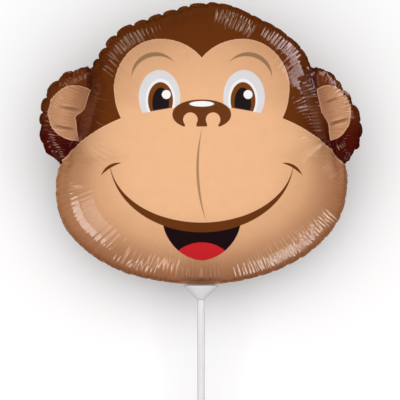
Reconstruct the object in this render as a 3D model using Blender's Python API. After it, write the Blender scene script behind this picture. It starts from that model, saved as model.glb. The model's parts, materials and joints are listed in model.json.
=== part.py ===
"""A monkey's head in inflated foil, held by a cup on a hollow stick and lying face up where it was put down.

The head is drawn in its own frame: X to the viewer's right, Y towards the crown and Z towards the viewer, with
the origin in the plane of the seam at the middle of the head. The resting_pose empty then lays all three pieces
down, with the back of the head on the ground and the far end of the stick touching it too.
"""

import math

import bmesh
import bpy
import numpy as np
from mathutils import Matrix, Vector

# Foil head, in metres
HEAD_WIDTH = 0.280
HEAD_DEPTH = 0.136
EAR_DEPTH = 0.040
EAR_CREASE_DEPTH = 0.006
EAR_CREASE_WIDTH = 0.008
SEAM_WIDTH = 0.005
SEAM_THICKNESS = 0.001
PUCKER_HEIGHT = 0.0022
PUCKER_REACH = 0.016
SEAM_WAVE = 0.0008
NECK_WIDTH = 0.025
RESTING_FLAT_DEPTH = 0.004

# Cup and stick, in metres
CUP_RIM_DIAMETER = 0.0302
CUP_HEIGHT = 0.0123
CUP_WALL = 0.0011
CUP_FLOOR = 0.0015
CUP_LIP = 0.0006
CUP_SHOULDER = 0.0003
SPIGOT_LENGTH = 0.014
STICK_DIAMETER = 0.0065
STICK_WALL = 0.0009
STICK_LENGTH = 0.300
FIT_GAP = 0.0003
NECK_CLEARANCE = 0.0007

# Outline of the head without its ears: degrees from the viewer's right, and radius as a share of the head's width
HEAD_OUTLINE = (
    (4, 0.412), (17, 0.405), (28, 0.409), (36.5, 0.430), (44, 0.443), (56, 0.448), (68, 0.449),
    (80, 0.460), (90, 0.458), (102, 0.445), (114, 0.444), (126, 0.452), (136, 0.436), (142, 0.430),
    (150, 0.405), (162, 0.398), (173, 0.403), (186, 0.443), (197, 0.472), (208, 0.487), (222, 0.474),
    (236, 0.452), (250, 0.430), (264, 0.419), (276, 0.419), (290, 0.427), (306, 0.447), (320, 0.468),
    (334, 0.480), (345, 0.470), (354, 0.453),
)
# How strongly the seam is gathered, from 0 to 1, round the same angles
GATHERING = (
    (10, 0.80), (30, 1.00), (50, 0.45), (75, 0.55), (100, 0.60), (130, 0.95), (160, 1.00),
    (184, 0.95), (200, 0.35), (235, 0.25), (262, 0.10), (278, 0.10), (305, 0.30), (345, 0.35),
)
# Each ear's ellipse, as shares of the head's width: distance of its centre sideways and up, and half its axes
EAR_CENTRE = (0.388, 0.107)
EAR_HALF_AXES = (0.108, 0.153)
EAR_LEAN = math.radians(19)
EAR_PILLOW_NARROWING = 0.034
# Where the head runs into an ear: how far out it starts to slope down evenly, and where the crease lies
EAR_SLOPE_START = 0.88
EAR_CREASE_PLACE = 0.955
EAR_ROOT_EASING = 0.012

# Shape of the inflated section, and how the rows of the surface are spaced from the seam to the middle
DOME_POWER = 2.2
ROUND_RADIUS_SHARE = 0.448
LOBE_BLEND = 5.0
PUCKERS = 60
COLUMNS_PER_PUCKER = 4
PUCKER_IRREGULARITY = 0.22
PUCKER_SEED = 11
COLUMN_CROWDING = 0.4
ROWS = (
    (1.0, 1), (0.98, 1), (0.945, 1), (0.90, 1), (0.845, 1), (0.79, 2), (0.745, 2), (0.70, 2), (0.58, 2),
    (0.42, 4), (0.22, 8),
)
NECK_STEPS = 4
STICK_SIDES = 24
CUP_SIDES = 48


def around(table, degrees):
    """A smooth closed curve through a table of angle and value, read at the given angles in degrees."""
    knots = np.array([angle for angle, _ in table], float)
    values = np.array([value for _, value in table], float)
    knots = np.concatenate([knots[-2:] - 360, knots, knots[:2] + 360])
    values = np.concatenate([values[-2:], values, values[:2]])
    slopes = np.gradient(values, knots)
    wrapped = (np.asarray(degrees, float) - knots[1]) % 360 + knots[1]
    place = np.clip(np.searchsorted(knots, wrapped, side="right") - 1, 1, len(knots) - 3)
    span = knots[place + 1] - knots[place]
    t = (wrapped - knots[place]) / span
    return (
        values[place] * (2 * t**3 - 3 * t**2 + 1)
        + slopes[place] * span * (t**3 - 2 * t**2 + t)
        + values[place + 1] * (3 * t**2 - 2 * t**3)
        + slopes[place + 1] * span * (t**3 - t**2)
    )


def in_ear_axes(x, y, side, narrowing=0.0):
    """A point measured along an ear's short and long axes, where 1 is on the ear's ellipse. Side is -1 or 1."""
    across = HEAD_WIDTH * (EAR_HALF_AXES[0] - narrowing)
    along = HEAD_WIDTH * EAR_HALF_AXES[1]
    dx = side * x - HEAD_WIDTH * (EAR_CENTRE[0] + narrowing)
    dy = y - HEAD_WIDTH * EAR_CENTRE[1]
    turned_x = dx * math.cos(EAR_LEAN) + dy * math.sin(EAR_LEAN)
    turned_y = -dx * math.sin(EAR_LEAN) + dy * math.cos(EAR_LEAN)
    return turned_x / across, turned_y / along


def ear_radius(degrees, side):
    """Distance from the middle of the head to the far side of an ear, or 0 where the ear isn't in that direction."""
    angle = np.radians(degrees)
    start = in_ear_axes(0.0, 0.0, side)
    end = in_ear_axes(np.cos(angle), np.sin(angle), side)
    step = (end[0] - start[0], end[1] - start[1])
    a = step[0] ** 2 + step[1] ** 2
    b = start[0] * step[0] + start[1] * step[1]
    c = start[0] ** 2 + start[1] ** 2 - 1
    under_root = b**2 - a * c
    return np.where(under_root > 0, (-b + np.sqrt(np.maximum(under_root, 0))) / a, 0)


def outline_radius(degrees):
    """Distance from the middle of the head to the outer edge of the seam, ears included."""
    head = HEAD_WIDTH * around(HEAD_OUTLINE, degrees)
    return np.maximum(head, np.maximum(ear_radius(degrees, -1), ear_radius(degrees, 1)))


def ear_root(degrees, edge):
    """How far past the head's own edge the seam lies: 0 where it follows the head, 1 where an ear carries on."""
    share = np.clip((outline_radius(degrees) - edge) / EAR_ROOT_EASING, 0, 1)
    return share**2 * (3 - 2 * share)


def dome_height(x, y):
    """Height of the head's own pillow over the seam's plane, and how much of it the crease at an ear takes away."""
    radius = np.hypot(x, y)
    degrees = np.degrees(np.arctan2(y, x))
    edge = HEAD_WIDTH * around(HEAD_OUTLINE, degrees)
    root = ear_root(degrees, edge)
    crease = EAR_CREASE_DEPTH * root * np.exp(-(((radius - EAR_CREASE_PLACE * edge) / EAR_CREASE_WIDTH) ** 2))
    edge = edge - SEAM_WIDTH * (1 - root)
    middle = HEAD_WIDTH * ROUND_RADIUS_SHARE - SEAM_WIDTH
    share = radius / edge
    for _ in range(12):
        weight = np.clip(share, 0, 1) ** 2
        share = 0.5 * share + 0.5 * radius / (edge * weight + middle * (1 - weight))
    full = np.sqrt(np.clip(1 - share**DOME_POWER, 0, None))
    start = math.sqrt(1 - EAR_SLOPE_START**DOME_POWER)
    slope = DOME_POWER * EAR_SLOPE_START ** (DOME_POWER - 1) / (2 * start)
    even = np.where(share > EAR_SLOPE_START, start - slope * (share - EAR_SLOPE_START), full)
    return HEAD_DEPTH / 2 * (full * (1 - root) + np.clip(even, 0, None) * root), crease


def ear_height(x, y):
    """Height of the two ears' pillows over the seam's plane."""
    height = 0
    for side in (-1, 1):
        short, long = in_ear_axes(x, y, side, EAR_PILLOW_NARROWING)
        height = height + EAR_DEPTH / 2 * np.sqrt(np.clip(1 - short**2 - long**2, 0, None))
    return height


def foil_height(x, y):
    """Height of the smooth inflated surface over the seam's plane: the head and the ears run together."""
    head, crease = dome_height(x, y)
    together = (head**LOBE_BLEND + ear_height(x, y) ** LOBE_BLEND) ** (1 / LOBE_BLEND)
    return np.maximum(together - crease, np.minimum(together, SEAM_THICKNESS))


def columns():
    """Angle of each column of the surface, its outward swell between two cusps of the seam, and its strength."""
    dense = np.arange(0, 360, 0.2)
    radius = outline_radius(dense)
    outward = np.diff(radius, append=radius[0])
    length = np.concatenate([[0], np.cumsum(np.hypot(COLUMN_CROWDING * outward, radius * math.radians(0.2)))])
    shifts = np.random.RandomState(PUCKER_SEED).uniform(-PUCKER_IRREGULARITY, PUCKER_IRREGULARITY, PUCKERS)
    cusps = (np.arange(PUCKERS) + shifts + 1) / PUCKERS * length[-1]
    cusps = np.append(cusps, cusps[0] + length[-1])
    parts = np.arange(COLUMNS_PER_PUCKER) / COLUMNS_PER_PUCKER
    places = (cusps[:-1, None] + parts * np.diff(cusps)[:, None]).ravel() % length[-1]
    angles = np.interp(places, length, np.append(dense, 360))
    swell = np.tile(np.sin(math.pi * parts), PUCKERS) - 2 / math.pi
    wave = np.tile(np.cos(math.pi * np.concatenate([parts, parts + 1])), PUCKERS // 2)
    return angles, swell, wave, np.clip(around(GATHERING, angles), 0, 1)


def close_rows(bm, outer, inner, face):
    """Faces between two rows of vertices, where the inner row has as many vertices or half as many."""
    n = len(outer)
    ratio = n // len(inner)
    for i in range(0, n, ratio):
        a, b = inner[i // ratio], inner[(i // ratio + 1) % len(inner)]
        if ratio == 1:
            bm.faces.new((outer[i], outer[(i + 1) % n], b, a)[::face])
            continue
        bm.faces.new((outer[i], outer[i + 1], a)[::face])
        bm.faces.new((outer[i + 1], b, a)[::face])
        bm.faces.new((outer[i + 1], outer[(i + 2) % n], b)[::face])


def foil_side(bm, face, angles, swell, wave, gathered):
    """One foil sheet with its half of the seam. Face is 1 for the front and -1 for the back. Returns the edge row."""
    directions = np.stack([np.cos(np.radians(angles)), np.sin(np.radians(angles))], 1)
    seam_edge = outline_radius(angles)
    swelling = PUCKER_HEIGHT * swell * gathered
    waving = SEAM_WAVE * wave * gathered
    edge_places = directions * (seam_edge + swelling)[:, None]
    edge = [
        bm.verts.new((*place, lift + face * SEAM_THICKNESS / 2)) for place, lift in zip(edge_places, waving)
    ]
    rows = []
    for fraction, skip in ROWS:
        ahead = fraction * (seam_edge - SEAM_WIDTH)
        distance = (1 - fraction) * seam_edge
        fade = np.exp(-distance / PUCKER_REACH)
        flat = directions * ahead[:, None]
        height = foil_height(flat[:, 0], flat[:, 1]) if fraction < 1 else np.zeros(len(angles))
        lift = face * (height + SEAM_THICKNESS / 2) + waving * fade
        rows.append(
            (
                [bm.verts.new((*flat[i], lift[i])) for i in range(0, len(angles), skip)],
                (swelling * fade)[::skip],
            )
        )
    close_rows(bm, edge, rows[0][0], face)
    for (outer, _), (inner, _) in zip(rows, rows[1:]):
        close_rows(bm, outer, inner, face)
    middle = bm.verts.new((0, 0, face * (HEAD_DEPTH / 2 + SEAM_THICKNESS / 2)))
    last = rows[-1][0]
    for i, vertex in enumerate(last):
        bm.faces.new((vertex, last[(i + 1) % len(last)], middle)[::face])
    return edge, rows


def swell_puckers(bm, sides):
    """Moves each gathered row out along the surface, so that the foil swells between the cusps of the seam."""
    bm.normal_update()
    moves = []
    for _, rows in sides:
        for row, swelling in rows:
            for vertex, amount in zip(row, swelling):
                out = Vector((vertex.co.x, vertex.co.y, 0)).normalized() if row is rows[0][0] else vertex.normal.copy()
                moves.append((vertex, out * float(amount)))
    for vertex, move in moves:
        vertex.co += move


def draw_out_neck(bm, front_edge, back_edge):
    """The filling neck: the seam's edge at the chin, drawn down into the cup and gathered towards its floor."""
    rim = cup_rim_height()
    n = len(front_edge)
    root = [i for i in range(n) if front_edge[i].co.y < 0 and abs(front_edge[i].co.x) < NECK_WIDTH / 2]
    walls = []
    for i in range(n):
        j = (i + 1) % n
        wall = bm.faces.new((front_edge[j], front_edge[i], back_edge[i], back_edge[j]))
        if i in root and j in root:
            walls.append(wall)
    depth = CUP_HEIGHT - CUP_FLOOR - NECK_CLEARANCE
    for step in range(1, NECK_STEPS + 1):
        grown = bmesh.ops.extrude_face_region(bm, geom=walls)["geom"]
        bmesh.ops.delete(bm, geom=walls, context="FACES")
        walls = [f for f in grown if isinstance(f, bmesh.types.BMFace)]
        down = depth * step / NECK_STEPS
        half = cup_inner_radius(down) - NECK_CLEARANCE
        moved = [v for v in grown if isinstance(v, bmesh.types.BMVert)]
        widest = max(abs(v.co.x) for v in moved)
        for vertex in moved:
            vertex.co.x *= min(half / widest, 1.0)
            vertex.co.y = rim - down
            vertex.co.z = math.copysign(SEAM_THICKNESS / 2, vertex.co.z)


def cup_rim_height():
    """Height of the cup's rim in the head's frame, just under the seam at the chin."""
    return -float(outline_radius(270.0)) - FIT_GAP - SEAM_THICKNESS / 2


def cup_inner_radius(down):
    """Radius of the cup's hollow at a depth under its rim."""
    shoulder = STICK_DIAMETER / 2 + CUP_SHOULDER
    slope = (CUP_RIM_DIAMETER / 2 - shoulder) / CUP_HEIGHT
    return CUP_RIM_DIAMETER / 2 - CUP_WALL * math.hypot(1, slope) - slope * down


def resting_pose():
    """Turn about X that lays the back of the head and the end of the stick on the ground, and the ground's offset."""
    y = np.linspace(-0.40, 0.44, 400) * HEAD_WIDTH
    back = -foil_height(np.zeros_like(y), y) - SEAM_THICKNESS / 2
    stick_end = cup_rim_height() - CUP_HEIGHT - FIT_GAP - STICK_LENGTH
    low, high = 0.0, math.radians(60)
    for _ in range(60):
        turn = (low + high) / 2
        end = stick_end * math.sin(turn) - STICK_DIAMETER / 2 * math.cos(turn)
        belly = float(np.min(y * math.sin(turn) + back * math.cos(turn)))
        low, high = (turn, high) if belly < end - RESTING_FLAT_DEPTH else (low, turn)
    return turn, -end


def add_object(bm, name, material, parent):
    """A named object made from the finished mesh."""
    bmesh.ops.recalc_face_normals(bm, faces=bm.faces)
    mesh = bpy.data.meshes.new(name)
    bm.to_mesh(mesh)
    bm.free()
    mesh.shade_smooth()
    mesh.set_sharp_from_angle(angle=math.radians(40))
    mesh.materials.append(material)
    piece = bpy.data.objects.new(name, mesh)
    bpy.context.scene.collection.objects.link(piece)
    piece.parent = parent
    return piece


def make_material(name, colour, roughness, metallic):
    """A Principled material with a plain colour."""
    material = bpy.data.materials.new(name)
    material.use_nodes = True
    shader = material.node_tree.nodes["Principled BSDF"]
    shader.inputs["Base Color"].default_value = (*colour, 1)
    shader.inputs["Roughness"].default_value = roughness
    shader.inputs["Metallic"].default_value = metallic
    return material


def foil_balloon(parent, turn, ground):
    """The head: two foil sheets welded along the seam, as one closed body with a flat where it rests."""
    bm = bmesh.new()
    angles, swell, wave, gathered = columns()
    sides = [foil_side(bm, face, angles, swell, wave, gathered) for face in (1, -1)]
    draw_out_neck(bm, sides[0][0], sides[1][0])
    swell_puckers(bm, sides)
    up = Vector((0, math.sin(turn), math.cos(turn)))
    cut = bmesh.ops.bisect_plane(
        bm, geom=bm.verts[:] + bm.edges[:] + bm.faces[:], plane_co=up * -ground, plane_no=up, clear_inner=True
    )
    rim = [e for e in cut["geom_cut"] if isinstance(e, bmesh.types.BMEdge)]
    bmesh.ops.contextual_create(bm, geom=rim)
    return add_object(bm, "foil_balloon", make_material("printed_foil", (0.13, 0.045, 0.012), 0.28, 0.35), parent)


def turned(name, profile, sides, material, parent):
    """A round piece turned about the stick's axis from a profile of radius and height."""
    bm = bmesh.new()
    corners = [bm.verts.new((radius, height, 0)) for radius, height in profile]
    closed = profile[0][0] > 0
    edges = [bm.edges.new(pair) for pair in zip(corners, corners[1:] + corners[:1] * closed)]
    bmesh.ops.spin(
        bm, geom=corners + edges, cent=(0, 0, 0), axis=(0, 1, 0), angle=math.tau, steps=sides, use_merge=True
    )
    bmesh.ops.remove_doubles(bm, verts=bm.verts, dist=1e-6)
    return add_object(bm, name, material, parent)


def balloon_cup(parent):
    """The cup: a cone with a thick lip, a closed floor and a spigot that plugs into the stick."""
    rim = cup_rim_height()
    bottom = rim - CUP_HEIGHT
    lip = cup_inner_radius(0)
    floor = CUP_HEIGHT - CUP_FLOOR
    spigot = STICK_DIAMETER / 2 - STICK_WALL - FIT_GAP
    profile = (
        (0, bottom - SPIGOT_LENGTH),
        (spigot - FIT_GAP, bottom - SPIGOT_LENGTH),
        (spigot, bottom - SPIGOT_LENGTH + FIT_GAP),
        (spigot, bottom),
        (STICK_DIAMETER / 2 + CUP_SHOULDER, bottom),
        (CUP_RIM_DIAMETER / 2, rim - CUP_LIP),
        (CUP_RIM_DIAMETER / 2, rim),
        (lip, rim),
        (cup_inner_radius(floor), rim - floor),
        (0, rim - floor),
    )
    return turned("balloon_cup", profile, CUP_SIDES, make_material("white_cup", (0.8, 0.8, 0.8), 0.4, 0), parent)


def balloon_stick(parent):
    """The stick: a plain tube, cut square at both ends."""
    top = cup_rim_height() - CUP_HEIGHT - FIT_GAP
    outer = STICK_DIAMETER / 2
    inner = outer - STICK_WALL
    profile = ((inner, top), (outer, top), (outer, top - STICK_LENGTH), (inner, top - STICK_LENGTH))
    return turned("balloon_stick", profile, STICK_SIDES, make_material("white_stick", (0.8, 0.8, 0.8), 0.4, 0), parent)


def main():
    for old in list(bpy.data.objects):
        bpy.data.objects.remove(old)
    turn, ground = resting_pose()
    pose = bpy.data.objects.new("resting_pose", None)
    bpy.context.scene.collection.objects.link(pose)
    pieces = [foil_balloon(pose, turn, ground), balloon_cup(pose), balloon_stick(pose)]
    lay_down = Matrix.Rotation(turn, 4, "X")
    corners = [lay_down @ vertex.co for piece in pieces for vertex in piece.data.vertices]
    middle = [(min(c[axis] for c in corners) + max(c[axis] for c in corners)) / 2 for axis in (0, 1)]
    pose.location = (-middle[0], -middle[1], ground)
    pose.rotation_euler = (turn, 0, 0)


main()
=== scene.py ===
"""The looks of the monkey head foil balloon: wrinkled printed foil on a plastic cup and stick, lying face up.

Lengths are in metres, and the printed face is drawn in millimetres. The head is shaped in its own frame, with
X to the viewer's right, Y towards the crown, Z towards the viewer and the origin in the seam's plane at the
middle of the head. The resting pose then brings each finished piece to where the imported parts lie.
"""

import json
import math

import bpy
import numpy as np
from mathutils import Matrix, Vector


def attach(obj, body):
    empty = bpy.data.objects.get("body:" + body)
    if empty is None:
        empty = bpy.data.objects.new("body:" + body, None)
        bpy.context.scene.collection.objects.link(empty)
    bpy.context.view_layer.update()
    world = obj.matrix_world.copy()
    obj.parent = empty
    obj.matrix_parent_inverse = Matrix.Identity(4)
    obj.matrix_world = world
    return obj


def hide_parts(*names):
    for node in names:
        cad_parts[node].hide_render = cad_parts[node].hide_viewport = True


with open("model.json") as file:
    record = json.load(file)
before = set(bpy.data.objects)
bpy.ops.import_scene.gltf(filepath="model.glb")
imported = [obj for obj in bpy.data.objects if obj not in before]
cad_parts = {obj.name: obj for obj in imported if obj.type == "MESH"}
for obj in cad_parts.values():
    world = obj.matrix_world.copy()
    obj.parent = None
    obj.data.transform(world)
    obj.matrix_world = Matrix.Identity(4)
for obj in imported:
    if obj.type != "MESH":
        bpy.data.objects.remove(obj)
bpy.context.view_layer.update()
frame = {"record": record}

# Sizes of the solids that the pieces stand for, in metres
HEAD_WIDTH = 0.280
HEAD_DEPTH = 0.136
EAR_DEPTH = 0.040
EAR_CREASE_DEPTH = 0.006
EAR_CREASE_WIDTH = 0.008
SEAM_WIDTH = 0.005
SEAM_THICKNESS = 0.001
PUCKER_HEIGHT = 0.0022
PUCKER_REACH = 0.016
SEAM_WAVE = 0.0008
PUCKERS = 60
PUCKER_IRREGULARITY = 0.22
PUCKER_SEED = 11
PUCKER_CROWDING = 0.4
NECK_WIDTH = 0.025
CUP_RIM_DIAMETER = 0.0302
CUP_HEIGHT = 0.0123
CUP_WALL = 0.0011
CUP_FLOOR = 0.0015
CUP_LIP = 0.0006
CUP_SHOULDER = 0.0003
SPIGOT_LENGTH = 0.014
STICK_DIAMETER = 0.0065
STICK_WALL = 0.0009
STICK_LENGTH = 0.300
FIT_GAP = 0.0003
NECK_CLEARANCE = 0.0007

# Millimetres in a metre
MILLIMETRES = 1000

# The camera's place in the head's frame, and the width that the photograph shows in the seam's plane
VIEWING_DISTANCE = 3.0
CAMERA_PLACE = Vector((-0.0009, -0.0436, VIEWING_DISTANCE))
PHOTO_WIDTH = 0.3489

# Outline of the head without its ears: degrees from the viewer's right, and radius as a share of the width
HEAD_OUTLINE = (
    (4, 0.412), (17, 0.405), (28, 0.409), (36.5, 0.430), (44, 0.443), (56, 0.448), (68, 0.449),
    (80, 0.460), (90, 0.458), (102, 0.445), (114, 0.444), (126, 0.452), (136, 0.436), (142, 0.430),
    (150, 0.405), (162, 0.398), (173, 0.403), (186, 0.443), (197, 0.472), (208, 0.487), (222, 0.474),
    (236, 0.452), (250, 0.430), (264, 0.419), (276, 0.419), (290, 0.427), (306, 0.447), (320, 0.468),
    (334, 0.480), (345, 0.470), (354, 0.453),
)
# How strongly the seam is gathered, from 0 to 1, round the same angles
GATHERING = (
    (10, 0.80), (30, 1.00), (50, 0.45), (75, 0.55), (100, 0.60), (130, 0.95), (160, 1.00),
    (184, 0.95), (200, 0.35), (235, 0.25), (262, 0.10), (278, 0.10), (305, 0.30), (345, 0.35),
)
EAR_CENTRE = (0.388, 0.107)
EAR_HALF_AXES = (0.108, 0.153)
EAR_LEAN = math.radians(19)
EAR_PILLOW_NARROWING = 0.034
EAR_SLOPE_START = 0.88
EAR_CREASE_PLACE = 0.955
EAR_ROOT_EASING = 0.012
DOME_POWER = 2.2
ROUND_RADIUS_SHARE = 0.448
LOBE_BLEND = 5.0
EDGE_BLEND_STEPS = 12
NECK_DIRECTION = 270.0

# Grid of the foil: columns round the head, rows from the weld inwards
COLUMNS = 1440
COLUMN_CROWDING = 0.6
FIRST_ROW = 0.0011
ROW_GROWTH = 1.012
WIDEST_ROW = 0.0018
WRINKLED_DEPTH = 0.080
FULL_COLUMNS_DEPTH = 0.036
FLANGE_WIDTH = 0.0032
FLANGE_LEAN = math.radians(62)
HIDDEN_FLANGE_LEAN = math.radians(86)
FLANGE_ROWS = 4
FLANGE_HIDDEN_BELOW = 0.50
FLANGE_HIDING_RANGE = 0.12
FLANGE_FLAT_DEGREES = 7.5
FLANGE_PRINT_STEP = 0.001
PUCKER_EXAGGERATION = 1.2
FOIL_HALF_THICKNESS = 0.00018
THICKNESS_REACH = 0.004
DENSE_STEP = 0.2
RAY_SAMPLES = 240
DENT_POWER = 8
MIDDLE_ROWS = ((0.94, 2), (0.86, 1), (0.77, 2), (0.67, 1), (0.57, 2), (0.46, 1), (0.34, 2), (0.20, 1))

# How the foil gives way when it is blown up
RELAXING_STEPS = 200
LEAST_EXCESS = 0.12
EXCESS_POWER = 1.5
SEAM_EXCESS = 0.12
SEAM_CALM = 0.009
PULLED_TIGHT = 0.01
BENDING = 0.0015
INWARD_BENDING = 3
FLANGE_BENDING = 8
DIAGONAL_PULL = 0.5
KEPT_SPEED = 0.9
PUSH = 0.30
HELD_ROWS = 3
EVENING_STEPS = 5
EVENING_SHARE = 0.5
EVENED_ROWS = 9
BROADEST_WRINKLE = 0.010
WRINKLE_SEED = 7

# First ripples, from which the wrinkles grow. Waves get longer with the depth, as its square root
RIPPLE_WAVELENGTHS = (0.0030, 0.0038, 0.0048, 0.0062, 0.0085, 0.012)
RIPPLE_VARIETY = 0.30
RIPPLE_HEIGHT = 0.0003
RIPPLE_OF_THAT_HEIGHT = 0.006
RIPPLE_AT_A_MILLIMETRE = 0.0009
RIPPLE_START = 0.0015
RIPPLE_OVERLAP = 0.8
RIPPLE_REACH = 0.035
WELD_WAVE_HEIGHT = 0.00008
WELD_WAVELENGTH = 0.0075
WELD_WAVE_REACH = 0.006
LEAST_WELD_WAVE = 0.2

# The filling neck: how far down it has its rows, its folds, and how soon it is settled and folded
NECK_LEVELS = (-0.0002, 0.0006, 0.0016, 0.003, 0.005, 0.0075)
NECK_FOLDS = 5
NECK_FOLD_HEIGHT = 0.0016
NECK_FOLDED_AT = 0.004
NECK_SETTLED_AT = 0.002
NECK_PRINT_DEPTH = 0.006


def single(line, half_width, height):
    """A wrinkle that is alone, as a group of one."""
    return line, line, 1, half_width, height


# Single wrinkles, in groups that fan out from a first line to a last. For each line, its two ends across and
# up the face in millimetres; then the number of lines, half their width and their height. A groove's height
# is below 0.
CREASES = (
    # Cheek under the left ear
    ((-78.9, 20.1, -63.7, 12.7), (-100.0, -2.4, -82.6, -13.3), 8, 1.4, 0.36),
    single((-102.9, 4.0, -94.2, -9.0), 1.6, -0.22),
    ((-119.5, -27.0, -103.8, -31.4), (-118.6, -34.9, -101.2, -32.7), 4, 0.9, 0.16),
    ((-118.6, -36.6, -100.3, -33.1), (-116.0, -46.2, -98.6, -41.0), 5, 0.9, 0.14),
    # Cheek under the right ear
    ((69.8, 17.8, 78.9, 19.6), (77.6, 9.3, 94.7, 9.3), 4, 1.4, 0.34),
    ((83.5, 8.7, 95.1, 10.5), (84.6, 5.2, 96.0, 7.9), 2, 1.3, 0.42),
    ((105.5, 5.2, 86.4, -5.2), (105.5, 3.5, 86.4, -13.1), 4, 1.4, 0.4),
    ((113.4, -12.2, 103.8, -18.3), (118.6, -20.1, 111.7, -27.0), 6, 0.9, 0.2),
    ((124.7, -14.8, 120.4, -20.9), (124.7, -26.2, 117.8, -31.4), 3, 0.9, 0.14),
    # Temples
    ((83.7, 54.1, 98.6, 56.7), (83.7, 48.0, 99.4, 50.2), 4, 0.9, 0.2),
    single((84.6, 44.5, 101.2, 47.1), 1.0, 0.4),
    ((82.9, 34.9, 101.2, 38.4), (96.8, 16.6, 105.5, 17.4), 8, 1.1, 0.22),
    single((-96.8, 32.3, -83.7, 22.2), 1.5, -0.3),
    ((-95.1, 46.2, -79.4, 42.7), (-93.3, 24.4, -82.9, 19.2), 3, 1.2, 0.12),
    # Roots of the ears
    single((-96.8, 68.0, -97.3, 50.6), 2.2, -0.9),
    single((97.7, 68.0, 99.0, 52.3), 2.2, -0.8),
    single((-105.5, 14.0, -112.5, 0.0), 2.0, -0.6),
    single((113.4, 10.5, 117.8, -1.7), 2.0, -0.6),
    # Left ear
    single((-124.7, 38.0, -106.4, 34.9), 1.6, -1.1),
    single((-129.1, 21.5, -110.8, 17.9), 1.6, -1.3),
    ((-124.7, 50.6, -119.5, 46.2), (-130.0, 39.3, -124.7, 35.8), 7, 0.75, 0.22),
    ((-117.8, 54.1, -120.4, 57.6), (-98.6, 62.8, -99.4, 68.0), 14, 0.7, 0.2),
    ((-132.6, 14.0, -128.2, 11.8), (-123.0, -7.0, -118.6, -5.2), 10, 0.75, 0.24),
    ((-136.1, 33.1, -130.0, 32.3), (-138.7, 17.4, -131.7, 17.4), 5, 0.9, 0.15),
    # Right ear
    single((109.0, 41.2, 118.6, 44.9), 1.6, -1.1),
    single((112.5, 21.5, 129.1, 26.7), 1.7, -1.3),
    ((123.9, 46.2, 128.2, 48.0), (129.1, 27.0, 134.3, 27.9), 12, 0.7, 0.22),
    ((119.5, -1.7, 116.9, 2.6), (126.5, 3.5, 123.9, 7.9), 5, 0.75, 0.24),
    ((105.5, 59.3, 106.4, 66.3), (119.5, 54.1, 123.9, 59.3), 6, 1.0, 0.15),
    # Crown
    ((-82.6, 84.6, -75.0, 77.6), (-66.3, 99.4, -58.4, 89.0), 9, 1.0, 0.3),
    ((-61.9, 101.2, -55.8, 92.0), (-54.1, 103.4, -48.4, 93.3), 3, 1.2, 0.34),
    single((-51.7, 91.2, -46.8, 86.3), 1.2, 0.14),
    ((-12.2, 119.5, -9.6, 109.0), (7.9, 113.4, 4.4, 94.2), 5, 1.3, -0.18),
    ((14.6, 123.0, 11.7, 111.3), (34.9, 113.0, 29.7, 102.9), 7, 1.2, 0.42),
    ((40.1, 112.5, 34.9, 102.1), (48.8, 109.9, 41.0, 97.7), 3, 1.2, 0.4),
    ((58.4, 105.5, 53.2, 96.0), (72.4, 96.0, 64.6, 87.2), 5, 1.2, 0.4),
    ((77.6, 87.2, 72.4, 82.9), (96.0, 55.8, 86.4, 54.1), 15, 0.9, 0.16),
    # Chin
    ((-61.1, -84.6, -67.2, -96.0), (-51.5, -89.0, -56.7, -100.3), 3, 1.3, 0.34),
    ((-44.5, -91.6, -48.8, -102.1), (-20.1, -99.4, -22.7, -111.7), 8, 1.2, 0.36),
    ((-81.1, -75.0, -89.0, -82.0), (-69.8, -79.4, -80.3, -89.0), 6, 1.0, 0.28),
    ((-98.4, -73.2, -104.9, -77.6), (-95.1, -75.9, -102.1, -81.1), 3, 0.8, -0.2),
    ((-63.0, -93.3, -69.4, -102.9), (-59.3, -96.0, -64.6, -104.7), 2, 0.9, -0.22),
    ((35.8, -96.0, 41.0, -110.8), (108.2, -52.3, 120.4, -62.8), 31, 1.05, 0.42),
    ((-114.3, -46.2, -100.3, -43.6), (-89.8, -84.6, -81.1, -75.0), 17, 0.9, 0.07),
)
CREASE_SEED = 5
CREASE_SCATTER = 0.3
CREASE_BOW = 0.06
CREASE_HALF_LENGTH = 0.45
CREASE_UNEVENNESS = (0.6, 1.3)

# Places with few wrinkles: degrees, half their width in degrees, and the share that is missing
CALM_PLACES = ((36, 13, 0.85), (60, 8, 0.5), (77, 11, 0.5), (214, 14, 0.6), (350, 7, 0.7), (191, 6, 0.7))

# Dents in the outline's radius: degrees, half their width in degrees, and depth in metres
DENTS = ((23, 9, 0.0050), (160, 6, -0.0022))


def around(table, degrees):
    """A smooth closed curve through a table of angle and value, read at the given angles in degrees."""
    knots = np.array([angle for angle, _ in table], float)
    values = np.array([value for _, value in table], float)
    knots = np.concatenate([knots[-2:] - 360, knots, knots[:2] + 360])
    values = np.concatenate([values[-2:], values, values[:2]])
    slopes = np.gradient(values, knots)
    wrapped = (np.asarray(degrees, float) - knots[1]) % 360 + knots[1]
    place = np.clip(np.searchsorted(knots, wrapped, side="right") - 1, 1, len(knots) - 3)
    span = knots[place + 1] - knots[place]
    t = (wrapped - knots[place]) / span
    return (
        values[place] * (2 * t**3 - 3 * t**2 + 1)
        + slopes[place] * span * (t**3 - 2 * t**2 + t)
        + values[place + 1] * (3 * t**2 - 2 * t**3)
        + slopes[place + 1] * span * (t**3 - t**2)
    )


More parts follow.
